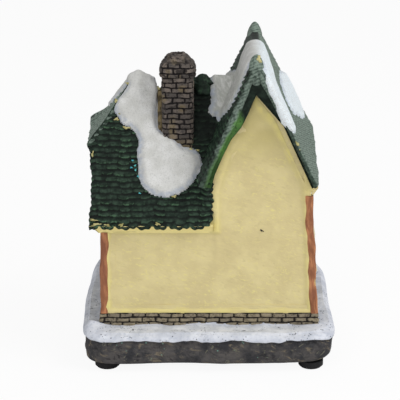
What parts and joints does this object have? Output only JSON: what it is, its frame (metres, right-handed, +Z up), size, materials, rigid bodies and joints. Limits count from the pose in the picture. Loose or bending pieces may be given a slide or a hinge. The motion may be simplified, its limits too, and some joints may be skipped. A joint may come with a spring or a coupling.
{
  "type": "christmas village house",
  "caption": "Small lit resin cottage with a steep cross gable, half-hipped main roof, brick chimney and snow, on a rock base with rubber feet.",
  "frame": {"origin": "on the ground, under the middle of the rock base", "axes": "+Z up, +Y towards the plain back, -Y towards the door, main ridge along X"},
  "size_m": [0.1, 0.088, 0.1275],
  "materials": {
    "rock": "painted polyresin, dark slate grey",
    "snow": "painted polyresin, snow white",
    "brick": "painted polyresin, tan brick",
    "wall": "painted polyresin, cream yellow",
    "post": "painted polyresin, reddish brown",
    "shingle": "painted polyresin, dark green",
    "ridge": "painted polyresin, grey green",
    "door": "painted polyresin, brown",
    "frame": "painted polyresin, off-white",
    "pane": "translucent amber plastic",
    "wreath": "painted polyresin, green",
    "rubber": "matt",
    "black_plastic": "moulded, fine grain",
    "lens": "clear moulded lens",
    "wire_red": "insulation",
    "wire_black": "insulation",
    "steel": "plated",
    "brass": "painted gold"
  },
  "bodies": {
    "house": {"base_slab": "rock", "rubber_foot_back_east": "rubber", "rubber_foot_back_west": "rubber", "rubber_foot_front_west": "rubber", "rubber_foot_front_east": "rubber", "door_step": "rock", "ground_snow": "snow", "brick_plinth": "brick", "house_walls": "wall", "corner_post_back_east": "post", "corner_post_back_west": "post", "corner_post_front_west": "post", "corner_post_front_east": "post", "main_roof": "shingle", "gable_roof": "shingle", "gable_ridge_roll": "ridge", "main_ridge_roll": "ridge", "back_cornice": "wall", "front_cornice": "wall", "west_cornice": "wall", "chimney_stack": "brick", "chimney_cap": "brick", "back_roof_snow": "snow", "front_roof_snow": "snow", "valley_snow": "snow", "far_gable_snow": "snow", "front_door": "door", "door_frame": "frame", "door_knob": "brass", "door_wreath": "wreath", "front_window_frame": "frame", "front_window_pane": "pane", "gable_window_frame": "frame", "gable_window_pane": "pane", "east_window_frame": "frame", "east_window_pane": "pane", "loft_window_frame": "frame", "loft_window_pane": "pane", "west_window_frame": "frame", "west_window_pane": "pane", "battery_box": "black_plastic", "button_cell_1": "steel", "button_cell_2": "steel", "button_cell_3": "steel", "contact_plate": "steel", "contact_spring": "steel", "switch_body": "steel", "led_stand": "black_plastic", "led": "lens", "led_wire_red": "wire_red", "led_wire_black": "wire_black"},
    "battery_cover": {"battery_cover": "black_plastic", "cover_screw": "steel"},
    "switch_knob": {"switch_knob": "black_plastic"}
  },
  "joints": [
    {"name": "cover_hinge", "type": "hinge", "parent": "house", "child": "battery_cover", "pos_m": [-0.0178, 0.004, 0.003], "axis": [0, 1, 0], "range_deg": [0, 80]},
    {"name": "switch_slide", "type": "slide", "parent": "house", "child": "switch_knob", "axis": [1, 0, 0], "range_m": [0, 0.002]}
  ]
}
